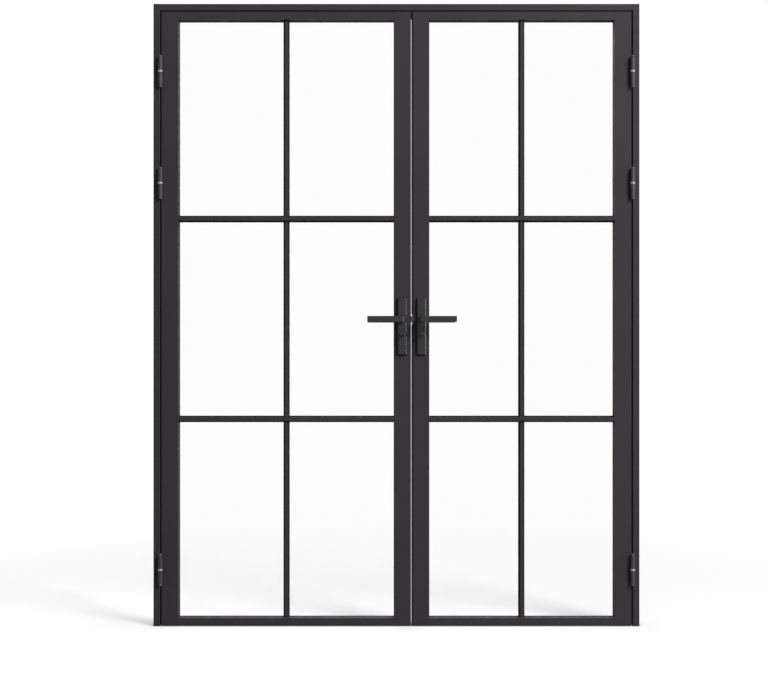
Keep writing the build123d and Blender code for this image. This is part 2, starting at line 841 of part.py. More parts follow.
def write_locks():
    """Lock, bolts, strike and meeting seal."""
    save("left_lock_case", place(active_lock_case(), "left"))
    save("left_latch_bolt", place(latch_bolt(), "left"))
    save("left_dead_bolt", place(dead_bolt(), "left"))
    save("right_lock_case", place(passive_lock_case(), "right"))
    save("right_top_bolt", place(top_bolt(), "right"))
    save("strike_plate", place(strike_plate(), "right"))
    save("meeting_seal", *[place(strip, "right") for strip in meeting_seal()])


os.makedirs("parts", exist_ok=True)
write_frame()
write_hinges()
for leaf_side in leaf_widths:
    write_leaf(leaf_side)
    write_handle_set(leaf_side)
write_locks()
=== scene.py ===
"""Glazed steel double doors in their frame: finishes, fasteners, seals, floor, light and camera.

Everything is in metres in the doors' own frame: +X to the viewer's right, +Y away from the viewer, +Z up.
The leaves open towards -Y, and the leaf with the latch is the left one.
"""

import json
import logging
import math
from dataclasses import dataclass
from enum import Enum

import bpy
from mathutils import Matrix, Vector


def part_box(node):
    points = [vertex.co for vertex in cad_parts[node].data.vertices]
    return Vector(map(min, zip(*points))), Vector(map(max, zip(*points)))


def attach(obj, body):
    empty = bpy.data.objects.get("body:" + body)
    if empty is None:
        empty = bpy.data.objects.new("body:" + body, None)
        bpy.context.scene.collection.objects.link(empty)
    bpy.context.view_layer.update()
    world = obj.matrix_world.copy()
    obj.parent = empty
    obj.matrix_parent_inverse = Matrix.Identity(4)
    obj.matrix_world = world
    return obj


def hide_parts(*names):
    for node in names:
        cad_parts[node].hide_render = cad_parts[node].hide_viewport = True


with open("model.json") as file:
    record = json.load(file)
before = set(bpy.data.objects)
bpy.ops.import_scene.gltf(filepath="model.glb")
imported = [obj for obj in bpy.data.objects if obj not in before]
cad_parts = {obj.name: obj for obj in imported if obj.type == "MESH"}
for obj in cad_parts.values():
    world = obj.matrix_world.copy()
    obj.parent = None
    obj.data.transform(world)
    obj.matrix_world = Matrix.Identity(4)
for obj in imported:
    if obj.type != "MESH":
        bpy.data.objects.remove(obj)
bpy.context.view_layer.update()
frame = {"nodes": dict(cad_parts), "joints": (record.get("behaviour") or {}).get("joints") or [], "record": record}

log = logging.getLogger("doors")

Colour = tuple[float, float, float]
Rgba = tuple[float, float, float, float]
Point = tuple[float, float, float]
Socket = bpy.types.NodeSocket
Tree = bpy.types.NodeTree
Node = bpy.types.Node
Inputs = dict[str | int, object]

MM = 0.001
WHITE: Colour = (1.0, 1.0, 1.0)
HINGES = ("top", "middle", "bottom")
# Nearly all of a noise's values lie between these two.
NOISE_LOW = 0.3
NOISE_HIGH = 0.7


class Side(Enum):
    """The two leaves, with the direction from the opening's middle to their hinges."""

    LEFT = "left"
    RIGHT = "right"

    @property
    def outward(self) -> int:
        """The sign of X towards this leaf's hinges."""
        return -1 if self is Side.LEFT else 1

    @property
    def leaf_body(self) -> str:
        """The body that carries this leaf."""
        return f"{self.value}_leaf"

    def node(self, piece: str) -> str:
        """The name of one of this leaf's CAD pieces."""
        return f"{self.value}_{piece}"


class Face(Enum):
    """The two faces of a leaf, with the sign of Y that points out of them."""

    FRONT = -1
    BACK = 1


# Node trees
def feed(tree: Tree, node: Node, inputs: Inputs) -> None:
    """Link a node's inputs to outputs, or set them to plain values.

    Args:
        tree: The node's tree.
        node: The node to feed.
        inputs: An output's socket or a plain value for each input, by name or by place.
    """
    for name, value in inputs.items():
        if isinstance(value, Socket):
            tree.links.new(value, node.inputs[name])
        else:
            node.inputs[name].default_value = value


def add(tree: Tree, kind: str, inputs: Inputs | None = None, **settings: object) -> Node:
    """Add a node, set its properties and feed its inputs.

    Args:
        tree: The tree to add to.
        kind: The node's type name.
        inputs: What feeds its inputs.
        **settings: Properties of the node.

    Returns:
        The new node.
    """
    node = tree.nodes.new(kind)
    for name, value in settings.items():
        setattr(node, name, value)
    feed(tree, node, inputs or {})
    return node


def math_node(tree: Tree, operation: str, *values: object) -> Socket:
    """One Math node.

    Args:
        tree: The tree to add to.
        operation: The Math node's operation.
        *values: Its inputs, as sockets or numbers.

    Returns:
        The result's socket.
    """
    return add(tree, "ShaderNodeMath", dict(enumerate(values)), operation=operation).outputs["Value"]


def remap(tree: Tree, value: Socket, low: float, high: float, to_low: object, to_high: object) -> Socket:
    """One Map Range node, held to its range.

    Args:
        tree: The tree to add to.
        value: The value to remap.
        low: The value that gives to_low.
        high: The value that gives to_high.
        to_low: The result at low, as a number or a socket.
        to_high: The result at high, as a number or a socket.

    Returns:
        The result's socket.
    """
    inputs = {"Value": value, "From Min": low, "From Max": high, "To Min": to_low, "To Max": to_high}
    return add(tree, "ShaderNodeMapRange", inputs, clamp=True).outputs["Result"]


def new_group(name: str, inputs: dict[str, tuple[str, object]], outputs: dict[str, str]) -> Tree:
    """An empty shader node group with named sockets.

    Args:
        name: The group's name.
        inputs: Each input's socket type and default value.
        outputs: Each output's socket type.

    Returns:
        The group, with its input and output nodes placed.
    """
    group = bpy.data.node_groups.new(name, "ShaderNodeTree")
    for label, (kind, default) in inputs.items():
        socket = group.interface.new_socket(label, in_out="INPUT", socket_type=kind)
        socket.default_value = default
    for label, kind in outputs.items():
        group.interface.new_socket(label, in_out="OUTPUT", socket_type=kind)
    add(group, "NodeGroupInput", name="given")
    add(group, "NodeGroupOutput", name="result")
    return group


def object_noise(tree: Tree, scale: object, detail: float, stretch: Point = (1.0, 1.0, 1.0)) -> Socket:
    """Noise over the doors' own coordinates.

    Args:
        tree: The tree to add to.
        scale: Features per metre, as a number or a socket.
        detail: The noise's octaves.
        stretch: How much finer the noise is along each axis.

    Returns:
        The noise's value.
    """
    place = add(tree, "ShaderNodeTexCoord").outputs["Object"]
    mapping = add(tree, "ShaderNodeMapping", {"Vector": place, "Scale": stretch})
    inputs = {"Vector": mapping.outputs["Vector"], "Scale": scale, "Detail": detail}
    return add(tree, "ShaderNodeTexNoise", inputs).outputs["Fac"]


class SurfaceEffects:
    """Shader groups that several finishes share, each built once."""

    FINE_DETAIL = 2.0
    PATCH_DETAIL = 3.0
    LINE_STRETCH = (1.0, 1.0, 40.0)
    BEVEL_SAMPLES = 4
    FLAT_ALIGNMENT = 0.995
    ARRIS_ALIGNMENT = 0.8
    LEAST_PATCH = 0.75

    def __init__(self) -> None:
        """Build the groups."""
        self.peel = self._orange_peel()
        self.thin_edge = self._thin_edge()
        self.drawn_lines = self._drawn_lines()

    def _orange_peel(self) -> Tree:
        """Fine dimples of a fired coat, and the slow drift of its tone.

        Returns:
            The group.
        """
        group = new_group(
            "orange_peel",
            {"Dimples per metre": ("NodeSocketFloat", 900.0), "Drifts per metre": ("NodeSocketFloat", 5.0)},
            {"Height": "NodeSocketFloat", "Drift": "NodeSocketFloat"},
        )
        given, result = group.nodes["given"], group.nodes["result"]
        dimples = object_noise(group, given.outputs["Dimples per metre"], self.FINE_DETAIL)
        drift = object_noise(group, given.outputs["Drifts per metre"], self.PATCH_DETAIL)
        spread = remap(group, drift, NOISE_LOW, NOISE_HIGH, 0.0, 1.0)
        feed(group, result, {"Height": dimples, "Drift": spread})
        return group

    def _thin_edge(self) -> Tree:
        """Where a coat or a plating has drawn thin over an arris.

        Returns:
            The group.
        """
        group = new_group(
            "thin_edge",
            {"Width": ("NodeSocketFloat", 1.0 * MM), "Patches per metre": ("NodeSocketFloat", 60.0)},
            {"Mask": "NodeSocketFloat"},
        )
        given, result = group.nodes["given"], group.nodes["result"]
        bevel = add(group, "ShaderNodeBevel", {"Radius": given.outputs["Width"]}, samples=self.BEVEL_SAMPLES)
        normals = {0: bevel.outputs["Normal"], 1: add(group, "ShaderNodeNewGeometry").outputs["Normal"]}
        dot = add(group, "ShaderNodeVectorMath", normals, operation="DOT_PRODUCT")
        edge = remap(group, dot.outputs["Value"], self.FLAT_ALIGNMENT, self.ARRIS_ALIGNMENT, 0.0, 1.0)
        noise = object_noise(group, given.outputs["Patches per metre"], self.PATCH_DETAIL)
        patches = remap(group, noise, NOISE_LOW, NOISE_HIGH, self.LEAST_PATCH, 1.0)
        feed(group, result, {"Mask": math_node(group, "MULTIPLY", edge, patches)})
        return group

    def _drawn_lines(self) -> Tree:
        """Fine lines left by drawing, rolling or turning steel.

        Returns:
            The group.
        """
        group = new_group(
            "drawn_lines",
            {"Lines per metre": ("NodeSocketFloat", 60.0)},
            {"Streak": "NodeSocketFloat"},
        )
        given, result = group.nodes["given"], group.nodes["result"]
        lines = object_noise(group, given.outputs["Lines per metre"], self.FINE_DETAIL, self.LINE_STRETCH)
        feed(group, result, {"Streak": lines})
        return group


def new_material(name: str) -> tuple[bpy.types.Material, Tree, Node]:
    """A material with a bare Principled shader.

    Args:
        name: The material's name.

    Returns:
        The material, its tree and the shader.
    """
    material = bpy.data.materials.new(name)
    material.use_nodes = True
    return material, material.node_tree, material.node_tree.nodes["Principled BSDF"]


def bumped(tree: Tree, height: Socket, depth: float) -> Socket:
    """A normal that follows a height of the given depth in metres.

    Args:
        tree: The material's tree.
        height: The height, from 0 to 1.
        depth: How deep the full height is.

    Returns:
        The normal's socket.
    """
    inputs = {"Strength": 1.0, "Distance": depth, "Height": height}
    return add(tree, "ShaderNodeBump", inputs).outputs["Normal"]


def mix_colours(tree: Tree, share: Socket, first: object, second: object) -> Socket:
    """A colour between two others.

    Args:
        tree: The material's tree.
        share: 0 for the first colour, 1 for the second.
        first: The first colour, as a socket or RGBA.
        second: The second colour, as a socket or RGBA.

    Returns:
        The mixed colour's socket.
    """
    inputs = {"Factor": share, "A": first, "B": second}
    return add(tree, "ShaderNodeMix", inputs, data_type="RGBA").outputs["Result"]


def shade(colour: Colour, by: float) -> Rgba:
    """A colour made lighter or darker, as RGBA."""
    return (colour[0] * by, colour[1] * by, colour[2] * by, 1.0)


# Finishes
@dataclass(frozen=True)
class CoatFinish:
    """Fired black coat on steel: dimpled, matt to satin, a little thinner over the arrises."""

    name: str
    colour: Colour
    roughness: float
    specular: float
    dimples: float = 1100.0
    dimple_depth: float = 0.02 * MM
    roughness_spread: float = 0.03
    edge_width: float = 0.9 * MM
    edge_gain: float = 1.55
    drift_gain: float = 1.12
    bands: tuple[float, ...] = ()
    band_from: float = 48.2 * MM
    band_to: float = 54.5 * MM
    band_gain: float = 3.0

    def banded(self, tree: Tree, coat: Socket) -> Socket:
        """The coat made lighter in a band above and below each of the given heights, at the hinges' end caps:
        partly their lighter caps, partly a painted highlight.

        Args:
            tree: The material's tree.
            coat: The coat's colour elsewhere.

        Returns:
            The colour with the bands.
        """
        place = add(tree, "ShaderNodeTexCoord").outputs["Object"]
        level = add(tree, "ShaderNodeSeparateXYZ", {"Vector": place}).outputs["Z"]
        nearest = None
        for height in self.bands:
            away = math_node(tree, "ABSOLUTE", math_node(tree, "SUBTRACT", level, height))
            nearest = away if nearest is None else math_node(tree, "MINIMUM", nearest, away)
        beyond = math_node(tree, "GREATER_THAN", nearest, self.band_from)
        within = math_node(tree, "LESS_THAN", nearest, self.band_to)
        mask = math_node(tree, "MULTIPLY", beyond, within)
        # Lighter bands at the hinges' end caps: partly their lighter caps, partly a painted highlight.
        return mix_colours(tree, mask, coat, shade(self.colour, self.band_gain))

    def material(self, effects: SurfaceEffects) -> bpy.types.Material:
        """Build the material.

        Args:
            effects: The shared shader groups.

        Returns:
            The new material.
        """
        material, tree, shader = new_material(self.name)
        peel = add(tree, "ShaderNodeGroup", {"Dimples per metre": self.dimples}, node_tree=effects.peel)
        edge = add(tree, "ShaderNodeGroup", {"Width": self.edge_width}, node_tree=effects.thin_edge)
        plain, drifted = shade(self.colour, 1.0), shade(self.colour, self.drift_gain)
        body = mix_colours(tree, peel.outputs["Drift"], plain, drifted)
        coat = mix_colours(tree, edge.outputs["Mask"], body, shade(self.colour, self.edge_gain))
        if self.bands:
            coat = self.banded(tree, coat)
        smooth, dull = self.roughness - self.roughness_spread, self.roughness + self.roughness_spread
        satin = remap(tree, peel.outputs["Drift"], 0.0, 1.0, smooth, dull)
        dimpled = bumped(tree, peel.outputs["Height"], self.dimple_depth)
        feed(tree, shader, {"Base Color": coat, "Roughness": satin, "Normal": dimpled})
        feed(tree, shader, {"Specular IOR Level": self.specular})
        return material


@dataclass(frozen=True)
class SteelFinish:
    """Bare or plated steel with fine drawn lines and brighter arrises."""

    name: str
    colour: Colour
    roughness: float
    lines: float = 90.0
    line_depth: float = 0.004 * MM
    streak_low: float = 0.2
    streak_high: float = 0.8
    smoother: float = 0.06
    rougher: float = 0.08
    dark_gain: float = 0.88
    light_gain: float = 1.05
    edge_width: float = 0.5 * MM
    edge_gain: float = 1.15

    def material(self, effects: SurfaceEffects) -> bpy.types.Material:
        """Build the material.

        Args:
            effects: The shared shader groups.

        Returns:
            The new material.
        """
        material, tree, shader = new_material(self.name)
        drawn = add(tree, "ShaderNodeGroup", {"Lines per metre": self.lines}, node_tree=effects.drawn_lines)
        edge = add(tree, "ShaderNodeGroup", {"Width": self.edge_width}, node_tree=effects.thin_edge)
        streak = drawn.outputs["Streak"]
        dark, light = shade(self.colour, self.dark_gain), shade(self.colour, self.light_gain)
        body = mix_colours(tree, streak, dark, light)
        tone = mix_colours(tree, edge.outputs["Mask"], body, shade(self.colour, self.edge_gain))
        smooth, dull = self.roughness - self.smoother, self.roughness + self.rougher
        polish = remap(tree, streak, self.streak_low, self.streak_high, smooth, dull)
        grooved = bumped(tree, streak, self.line_depth)
        feed(tree, shader, {"Base Color": tone, "Roughness": polish, "Normal": grooved, "Metallic": 1.0})
        return material


@dataclass(frozen=True)
class GlassFinish:
    """Clear toughened glass that lets most of the lamps' light through, with a trace of wiping on it."""

    name: str
    colour: Colour
    shadow: float = 0.89
    clean: float = 0.0
    wiped: float = 0.025
    wipes_per_metre: float = 3.0
    wiped_from: float = 0.55
    index: float = 1.5

    def material(self, effects: SurfaceEffects) -> bpy.types.Material:
        """Build the material.

        Args:
            effects: The shared shader groups.

        Returns:
            The new material.
        """
        material, tree, shader = new_material(self.name)
        inputs = {"Drifts per metre": self.wipes_per_metre}
        peel = add(tree, "ShaderNodeGroup", inputs, node_tree=effects.peel)
        wiping = remap(tree, peel.outputs["Drift"], self.wiped_from, 1.0, self.clean, self.wiped)
        feed(tree, shader, {"Base Color": shade(self.colour, 1.0), "Roughness": wiping})
        feed(tree, shader, {"Transmission Weight": 1.0, "IOR": self.index})
        clear = add(tree, "ShaderNodeBsdfTransparent", {"Color": shade(WHITE, self.shadow)})
        shadowed = add(tree, "ShaderNodeLightPath").outputs["Is Shadow Ray"]
        inputs = {"Fac": shadowed, 1: shader.outputs["BSDF"], 2: clear.outputs["BSDF"]}
        mix = add(tree, "ShaderNodeMixShader", inputs)
        feed(tree, tree.nodes["Material Output"], {"Surface": mix.outputs["Shader"]})
        return material


@dataclass(frozen=True)
class RubberFinish:
    """Black extruded rubber with a faint bloom."""

    name: str
    colour: Colour
    roughness: float = 0.75
    roughness_spread: float = 0.1
    specular: float = 0.2
    grain: float = 1600.0
    grain_depth: float = 0.03 * MM
    blooms_per_metre: float = 14.0
    dark_gain: float = 0.8
    bloom_gain: float = 1.5

    def material(self, effects: SurfaceEffects) -> bpy.types.Material:
        """Build the material.

        Args:
            effects: The shared shader groups.

        Returns:
            The new material.
        """
        material, tree, shader = new_material(self.name)
        inputs = {"Dimples per metre": self.grain, "Drifts per metre": self.blooms_per_metre}
        peel = add(tree, "ShaderNodeGroup", inputs, node_tree=effects.peel)
        dark, pale = shade(self.colour, self.dark_gain), shade(self.colour, self.bloom_gain)
        bloom = mix_colours(tree, peel.outputs["Drift"], dark, pale)
        smooth, dull = self.roughness - self.roughness_spread, self.roughness + self.roughness_spread
        feel = remap(tree, peel.outputs["Drift"], 0.0, 1.0, smooth, dull)
        grained = bumped(tree, peel.outputs["Height"], self.grain_depth)
        feed(tree, shader, {"Base Color": bloom, "Roughness": feel, "Normal": grained})
        feed(tree, shader, {"Specular IOR Level": self.specular})
        return material


def hinge_middle(side: Side, name: str) -> float:
    """The height of a hinge's middle, from the boxes of its two halves.

    Args:
        side: The hinge's leaf.
        name: The hinge's place on the leaf.

    Returns:
        The middle's height.
    """
    halves = [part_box(side.node(f"{name}_hinge_{half}_half")) for half in ("jamb", "leaf")]
    heights = [corner.z for box in halves for corner in box]
    return sum(heights) / len(heights)


BLACK_COAT: Colour = (0.034, 0.0312, 0.034)
SATIN_BLACK: Colour = (0.0238, 0.0218, 0.0238)
BRIGHT_STEEL: Colour = (0.31, 0.305, 0.3)
CLEAR_GLASS: Colour = (0.985, 0.98, 0.985)
BLACK_RUBBER: Colour = (0.008, 0.0078, 0.0082)
FINE_DIMPLES = 1600.0
HINGE_MIDDLES = tuple(hinge_middle(Side.LEFT, name) for name in HINGES)

FRAME_COAT = CoatFinish("frame_coat", BLACK_COAT, roughness=0.52, specular=0.08)
LEAF_COAT = CoatFinish("leaf_coat", BLACK_COAT, roughness=0.5, specular=0.08)
# The hinge coat's bands lighten its end caps: partly their lighter caps, partly a painted highlight.
HINGE_COAT = CoatFinish(
    "hinge_coat", BLACK_COAT, roughness=0.42, specular=0.25, dimples=FINE_DIMPLES, bands=HINGE_MIDDLES
)
HANDLE_COAT = CoatFinish("handle_coat", SATIN_BLACK, roughness=0.3, specular=0.25, dimples=FINE_DIMPLES)
FINISHES = (
    FRAME_COAT,
    LEAF_COAT,
    HINGE_COAT,
    HANDLE_COAT,
    SteelFinish("bright_steel", BRIGHT_STEEL, roughness=0.6),
    GlassFinish("clear_glass", CLEAR_GLASS),
    RubberFinish("black_rubber", BLACK_RUBBER),
)


class Finishes:
    """The materials, one for each slot of the doors' record."""

    def __init__(self, effects: SurfaceEffects) -> None:
        """Build every finish once."""
        self.materials = {finish.name: finish.material(effects) for finish in FINISHES}

    def dress_node(self, node: str, slot: str) -> None:
        """Give a CAD piece its finish in place of its plain colour, and report it.

        Args:
            node: The CAD piece.
            slot: The record's name for the finish.
        """
        slots = frame["nodes"][node].data.materials
        slots.clear()
        slots.append(self.materials[slot])
        log.info("%s: %s", node, slot)

    def dress_all(self) -> None:
        """Give every CAD piece the finish that the record names for it."""
        for piece in frame["record"]["subparts"]:
            self.dress_node(piece["node"], piece["material_slot"])


# Fasteners
@dataclass(frozen=True)
class ScrewSize:
    """A socket screw's head, in millimetres, above the face that it is driven into."""

    head_radius: float
    top_radius: float
    head_height: float
    socket_radius: float
    socket_depth: float


class Screw(Enum):
    """The kinds of screw head on the doors."""

    FLAP = ScrewSize(3.4, 3.0, 0.45, 1.45, 0.4)
    BEAD = ScrewSize(2.9, 2.3, 1.3, 1.2, 0.9)
    PLATE = ScrewSize(3.6, 3.0, 1.2, 1.6, 0.9)
    LOCK = ScrewSize(3.0, 2.7, 0.4, 1.3, 0.35)
    GRUB = ScrewSize(2.2, 2.0, 0.35, 1.2, 0.3)


@dataclass
class ScrewSpot:
    """One screw: where its head sits, and the way that the head faces."""

    at: Vector
    facing: Vector


def new_geometry_tree(name: str, sizes: tuple[str, ...]) -> tuple[Tree, Node]:
    """An empty geometry tree with named sizes and a finish among its inputs.

    Args:
        name: The tree's name.
        sizes: The names of its numbers.

    Returns:
        The tree and its input node.
    """
    tree = bpy.data.node_groups.new(name, "GeometryNodeTree")
    tree.interface.new_socket("Geometry", in_out="INPUT", socket_type="NodeSocketGeometry")
    for size in sizes:
        tree.interface.new_socket(size, in_out="INPUT", socket_type="NodeSocketFloat")
    tree.interface.new_socket("finish", in_out="INPUT", socket_type="NodeSocketMaterial")
    tree.interface.new_socket("Geometry", in_out="OUTPUT", socket_type="NodeSocketGeometry")
    return tree, add(tree, "NodeGroupInput")


def end_geometry_tree(tree: Tree, given: Node, geometry: Socket) -> None:
    """End a geometry tree in plain meshes that wear its finish.

    Args:
        tree: The tree to end.
        given: Its input node.
        geometry: What it has made.
    """
    realize = add(tree, "GeometryNodeRealizeInstances", {"Geometry": geometry})
    inputs = {"Geometry": realize.outputs["Geometry"], "Material": given.outputs["finish"]}
    finish = add(tree, "GeometryNodeSetMaterial", inputs)
    add(tree, "NodeGroupOutput", {"Geometry": finish.outputs["Geometry"]})


class ScrewTree:
    """Geometry nodes that set a socket screw head on every point, turned to the point's facing."""

    SIZES = ("head radius", "top radius", "head height", "socket radius", "socket depth")
    FACING = "facing"

    def __init__(self, head_sides: int = 24, socket_sides: int = 6) -> None:
        """Build the tree.

        Args:
            head_sides: Sides of the round head.
            socket_sides: Sides of the key's socket.
        """
        self.tree, given = new_geometry_tree("screw_heads", self.SIZES)
        tree = self.tree
        head = self._head(given, head_sides, socket_sides)
        named = add(
            tree, "GeometryNodeInputNamedAttribute", {"Name": self.FACING}, data_type="FLOAT_VECTOR"
        )
        facing = {"Vector": named.outputs["Attribute"]}
        turn = add(tree, "FunctionNodeAlignRotationToVector", facing, axis="Z")
        inputs = {
            "Points": given.outputs["Geometry"],
            "Instance": head,
            "Rotation": turn.outputs["Rotation"],
            "Scale": (MM, MM, MM),
        }
        spread = add(tree, "GeometryNodeInstanceOnPoints", inputs)
        end_geometry_tree(tree, given, spread.outputs["Instances"])

    def _head(self, given: Node, head_sides: int, socket_sides: int) -> Socket:
        """One head, standing on z = 0 in millimetres, with the key's socket cut out of its top.

        Args:
            given: The tree's input node.
            head_sides: Sides of the round head.
            socket_sides: Sides of the key's socket.

        Returns:
            The head's mesh.
        """
        tree, sizes = self.tree, given.outputs
        inputs = {
            "Vertices": head_sides,
            "Radius Bottom": sizes["head radius"],
            "Radius Top": sizes["top radius"],
            "Depth": sizes["head height"],
        }
        cone = add(tree, "GeometryNodeMeshCone", inputs)
        # The key is centred on the head's top, so half of its length cuts.
        length = math_node(tree, "MULTIPLY", sizes["socket depth"], 2.0)
        inputs = {"Vertices": socket_sides, "Radius": sizes["socket radius"], "Depth": length}
        key = add(tree, "GeometryNodeMeshCylinder", inputs)
        lift = add(tree, "ShaderNodeCombineXYZ", {"Z": sizes["head height"]})
        inputs = {"Geometry": key.outputs["Mesh"], "Translation": lift.outputs["Vector"]}
        raised = add(tree, "GeometryNodeTransform", inputs)
        inputs = {"Mesh 1": cone.outputs["Mesh"], "Mesh 2": raised.outputs["Geometry"]}
        cut = add(tree, "GeometryNodeMeshBoolean", inputs, operation="DIFFERENCE", solver="EXACT")
        return cut.outputs["Mesh"]

    def piece(
        self, name: str, screw: Screw, spots: list[ScrewSpot], finish: bpy.types.Material
    ) -> bpy.types.Object:
        """Set screws on their spots and turn the result into a plain mesh.

        Args:
            name: The piece's name.
            screw: The kind of head.
            spots: Where the heads sit.
            finish: The heads' material.

        Returns:
            The piece.
        """
        points = bpy.data.meshes.new(name)
        points.from_pydata([spot.at for spot in spots], [], [])
        facing = points.attributes.new(self.FACING, "FLOAT_VECTOR", "POINT")
        for value, spot in zip(facing.data, spots):
            value.vector = spot.facing
        values = {size: getattr(screw.value, size.replace(" ", "_")) for size in self.SIZES}
        values["finish"] = finish
        return grown(name, points, self.tree, values)


def grown(name: str, start: bpy.types.Mesh, tree: Tree, values: dict[str, object]) -> bpy.types.Object:
    """Run a geometry tree on a mesh and keep the result as a plain mesh.

    Args:
        name: The piece's name.
        start: The mesh that the tree starts from.
        tree: The geometry tree.
        values: The tree's inputs, by name.

    Returns:
        The piece, with no modifier left.
    """
    piece = bpy.data.objects.new(name, start)
    bpy.context.scene.collection.objects.link(piece)
    modifier = piece.modifiers.new("grow", "NODES")
    modifier.node_group = tree
    for item in tree.interface.items_tree:
        if item.item_type == "SOCKET" and item.in_out == "INPUT" and item.name in values:
            modifier[item.identifier] = values[item.name]
    graph = bpy.context.evaluated_depsgraph_get()
    graph.update()
    mesh = bpy.data.meshes.new_from_object(piece.evaluated_get(graph), depsgraph=graph)
    mesh.name = name
    piece.modifiers.remove(modifier)
    piece.data = mesh
    return piece


def settle(piece: bpy.types.Object, body: str) -> None:
    """Make a new piece ride on its body and report it.

    Args:
        piece: The new piece.
        body: The body that carries it.
    """
    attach(piece, body)
    log.info("%s: %d faces on %s", piece.name, len(piece.data.polygons), body)


# Sub-assemblies
@dataclass
class HingeSet:
    """The lift-off hinges of one leaf, with the screws through their flaps."""

    side: Side
    flap_gap: float = 1.4 * MM
    screw_heights: tuple[float, ...] = (-36.0 * MM, -13.0 * MM, 13.0 * MM, 36.0 * MM)
    screw_depths: tuple[float, ...] = (9.0 * MM, 22.0 * MM)

    def axis_x(self) -> float:
        """The X of this leaf's hinge axis, from its joint."""
        joint = next(j for j in frame["joints"] if j["child"] == self.side.leaf_body)
        return joint["pos_m"][0]

    def spots(self, half: str) -> list[ScrewSpot]:
        """Where the screws of one kind of hinge half sit.

        Args:
            half: The jamb's half or the leaf's half.

        Returns:
            The spots on that half's flaps, in two staggered rows.
        """
        from_axis = self.side.outward if half == "jamb" else -self.side.outward
        found = []
        for name in HINGES:
            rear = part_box(self.side.node(f"{name}_hinge_{half}_half"))[1].y
            middle = hinge_middle(self.side, name)
            for index, height in enumerate(self.screw_heights):
                depth = self.screw_depths[index % len(self.screw_depths)]
                at = Vector((self.axis_x() + from_axis * self.flap_gap / 2, rear - depth, middle + height))
                found.append(ScrewSpot(at, Vector((-from_axis, 0.0, 0.0))))
        return found

    def build(self, screws: ScrewTree, finishes: Finishes) -> None:
        """Set the screws on both halves.

        Args:
            screws: The geometry tree of the screw heads.
            finishes: The materials.
        """
        for half, body in (("jamb", "frame"), ("leaf", self.side.leaf_body)):
            name = self.side.node(f"{half}_hinge_screws")
            piece = screws.piece(name, Screw.FLAP, self.spots(half), finishes.materials["bright_steel"])
            settle(piece, body)


@dataclass
class Glazing:
    """The glazing of one leaf: the screws that hold the beads of its outer edges."""

    side: Side
    bead_middle: float = 6.0 * MM
    end_distance: float = 55.0 * MM
    screws_per_bead: int = 3

    def along(self, low: float, high: float) -> list[float]:
        """Evenly spaced places along one bead.

        Args:
            low: Where the bead starts.
            high: Where it ends.

        Returns:
            The places, from low to high.
        """
        first, last = low + self.end_distance, high - self.end_distance
        step = (last - first) / (self.screws_per_bead - 1)
        return [first + index * step for index in range(self.screws_per_bead)]

    def columns(self) -> list[tuple[float, float]]:
        """The clear openings across the leaf.

        Returns:
            The sides of each opening, from left to right.
        """
        stiles = (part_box(self.side.node(name)) for name in ("hinge_stile", "meeting_stile"))
        left, right = sorted(stiles, key=lambda box: box[0].x)
        bar_low, bar_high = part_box(self.side.node("upright_bars"))
        return [(left[1].x, bar_low.x), (bar_high.x, right[0].x)]

    def rows(self) -> list[tuple[float, float]]:
        """The clear openings up the leaf.

        Returns:
            The foot and the top of each opening, from the bottom.
        """
        pieces = ("bottom_rail", "lower_bar", "upper_bar", "top_rail")
        boxes = [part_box(self.side.node(name)) for name in pieces]
        return [(below[1].z, above[0].z) for below, above in zip(boxes, boxes[1:])]

    def spots(self) -> list[ScrewSpot]:
        """Where the bead screws sit on the back of the leaf.

        Returns:
            The spots, up both sides and then along the bottom and the top.
        """
        columns, rows = self.columns(), self.rows()
        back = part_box(self.side.node("beads"))[1].y
        facing = Vector((0.0, 1.0, 0.0))
        places = []
        for x in (columns[0][0] - self.bead_middle, columns[-1][1] + self.bead_middle):
            places += [(x, z) for row in rows for z in self.along(*row)]
        for z in (rows[0][0] - self.bead_middle, rows[-1][1] + self.bead_middle):
            places += [(x, z) for column in columns for x in self.along(*column)]
        return [ScrewSpot(Vector((x, back, z)), facing) for x, z in places]

    def build(self, screws: ScrewTree, finishes: Finishes) -> None:
        """Set the bead screws.

        Args:
            screws: The geometry tree of the screw heads.
            finishes: The materials.
        """
        name = self.side.node("bead_screws")
        piece = screws.piece(name, Screw.BEAD, self.spots(), finishes.materials["leaf_coat"])
        settle(piece, self.side.leaf_body)


@dataclass
class HandleSet:
    """One leaf's handle set: the screws of its back plate and the grub screws of its levers."""

    side: Side
    plate_end: float = 13.0 * MM
    grub_from_plate: float = 11.0 * MM

    def plate_spots(self) -> list[ScrewSpot]:
        """The screws of the back plate.

        Returns:
            The two spots, near the plate's ends.
        """
        low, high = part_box(self.side.node("back_plate"))
        x = (low.x + high.x) / 2
        facing = Vector((0.0, 1.0, 0.0))
        heights = (low.z + self.plate_end, high.z - self.plate_end)
        return [ScrewSpot(Vector((x, high.y, z)), facing) for z in heights]

    def grub_spots(self) -> list[ScrewSpot]:
        """The grub screw under the neck of each lever.

        Returns:
            One spot for each face of the leaf.
        """
        found = []
        for face in Face:
            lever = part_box(self.side.node(f"{face.name.lower()}_lever"))
            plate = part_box(self.side.node(f"{face.name.lower()}_plate"))
            x = (plate[0].x + plate[1].x) / 2
            seat = plate[0].y if face is Face.FRONT else plate[1].y
            y = seat + face.value * self.grub_from_plate
            found.append(ScrewSpot(Vector((x, y, lever[0].z)), Vector((0.0, 0.0, -1.0))))
        return found

    def build(self, screws: ScrewTree, finishes: Finishes) -> None:
        """Set the screws of the plate and the levers.

        Args:
            screws: The geometry tree of the screw heads.
            finishes: The materials.
        """
        coat = finishes.materials["handle_coat"]
        plate = screws.piece(self.side.node("plate_screws"), Screw.PLATE, self.plate_spots(), coat)
        settle(plate, self.side.leaf_body)
        grub = screws.piece(self.side.node("grub_screws"), Screw.GRUB, self.grub_spots(), coat)
        settle(grub, f"{self.side.value}_lever_set")


